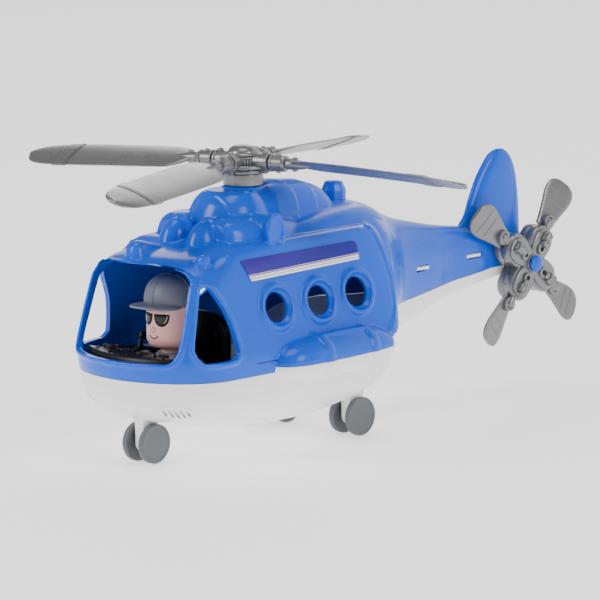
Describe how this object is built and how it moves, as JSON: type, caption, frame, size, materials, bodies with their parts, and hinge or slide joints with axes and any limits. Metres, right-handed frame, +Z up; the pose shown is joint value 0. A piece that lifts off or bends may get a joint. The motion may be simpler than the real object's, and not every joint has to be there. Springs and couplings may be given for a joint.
{
  "type": "toy helicopter",
  "caption": "Snap-together plastic toy helicopter with a free-spinning main and tail rotor, rolling wheels and a seated pilot with a turning head behind open windows.",
  "frame": {"origin": "on the ground under the middle of the whole toy", "axes": "+Z up along the rotor mast, -Y towards the nose, +X towards the port (left) side, where the tail rotor is"},
  "size_m": [0.2654, 0.4, 0.1664],
  "materials": {
    "upper_shell": "glossy moulded mid-blue plastic",
    "lower_shell": "glossy moulded white plastic",
    "sticker": "printed glossy film, dark blue with white bands",
    "cockpit": "satin black moulded plastic",
    "seat": "satin black moulded plastic",
    "skin": "satin pink moulded plastic",
    "clothes": "satin dark grey moulded plastic",
    "rotor": "satin silver-grey moulded plastic",
    "axle": "plain drawn steel wire",
    "wheel": "satin grey moulded plastic",
    "pin": "glossy moulded mid-blue plastic"
  },
  "bodies": {
    "airframe": {"upper_fuselage": "upper_shell", "lower_fuselage": "lower_shell", "port_sticker": "sticker", "starboard_sticker": "sticker", "cockpit_tray": "cockpit", "pilot_seat": "seat", "pilot_torso": "clothes", "pilot_leg_left": "clothes", "pilot_leg_right": "clothes"},
    "main_rotor": {"main_rotor_hub": "rotor", "main_rotor_cap": "rotor", "main_rotor_collar": "rotor", "main_rotor_blade_1": "rotor", "main_rotor_blade_2": "rotor", "main_rotor_blade_3": "rotor", "main_rotor_blade_4": "rotor", "mast_pin": "rotor"},
    "tail_rotor": {"tail_rotor_hub": "rotor", "tail_rotor_blade_1": "rotor", "tail_rotor_blade_2": "rotor", "tail_rotor_blade_3": "rotor", "tail_rotor_blade_4": "rotor", "tail_rotor_pin": "pin"},
    "front_wheels": {"front_axle": "axle", "front_wheel_left": "wheel", "front_wheel_right": "wheel"},
    "rear_port_wheels": {"rear_port_axle": "axle", "rear_port_wheel_left": "wheel", "rear_port_wheel_right": "wheel"},
    "rear_starboard_wheels": {"rear_starboard_axle": "axle", "rear_starboard_wheel_left": "wheel", "rear_starboard_wheel_right": "wheel"},
    "pilot_head": {"pilot_head": "skin", "pilot_cap": "clothes"},
    "pilot_arm_left": {"pilot_arm_left": "clothes", "pilot_hand_left": "skin"},
    "pilot_arm_right": {"pilot_arm_right": "clothes", "pilot_hand_right": "skin"}
  },
  "joints": [
    {"name": "main_rotor_spin", "type": "hinge", "parent": "airframe", "child": "main_rotor", "pos_m": [0, -0.06727, 0.1572], "axis": [0, 0, 1], "continuous": true},
    {"name": "tail_rotor_spin", "type": "hinge", "parent": "airframe", "child": "tail_rotor", "pos_m": [0.0116, 0.15343, 0.075], "axis": [1, 0, 0], "continuous": true},
    {"name": "front_wheels_roll", "type": "hinge", "parent": "airframe", "child": "front_wheels", "pos_m": [0, -0.14307, 0.01084], "axis": [1, 0, 0], "continuous": true},
    {"name": "rear_port_wheels_roll", "type": "hinge", "parent": "airframe", "child": "rear_port_wheels", "pos_m": [0.0284, -0.01117, 0.01084], "axis": [1, 0, 0], "continuous": true},
    {"name": "rear_starboard_wheels_roll", "type": "hinge", "parent": "airframe", "child": "rear_starboard_wheels", "pos_m": [-0.0284, -0.01117, 0.01084], "axis": [1, 0, 0], "continuous": true},
    {"name": "pilot_head_turn", "type": "hinge", "parent": "airframe", "child": "pilot_head", "pos_m": [0, -0.12347, 0.061], "axis": [0, 0, 1], "range_deg": [-80, 80]},
    {"name": "pilot_arm_left_swing", "type": "hinge", "parent": "airframe", "child": "pilot_arm_left", "pos_m": [0.0204, -0.12347, 0.0505], "axis": [-1, 0, 0], "range_deg": [-10, 20]},
    {"name": "pilot_arm_right_swing", "type": "hinge", "parent": "airframe", "child": "pilot_arm_right", "pos_m": [-0.0204, -0.12347, 0.0505], "axis": [-1, 0, 0], "range_deg": [-10, 20]}
  ]
}
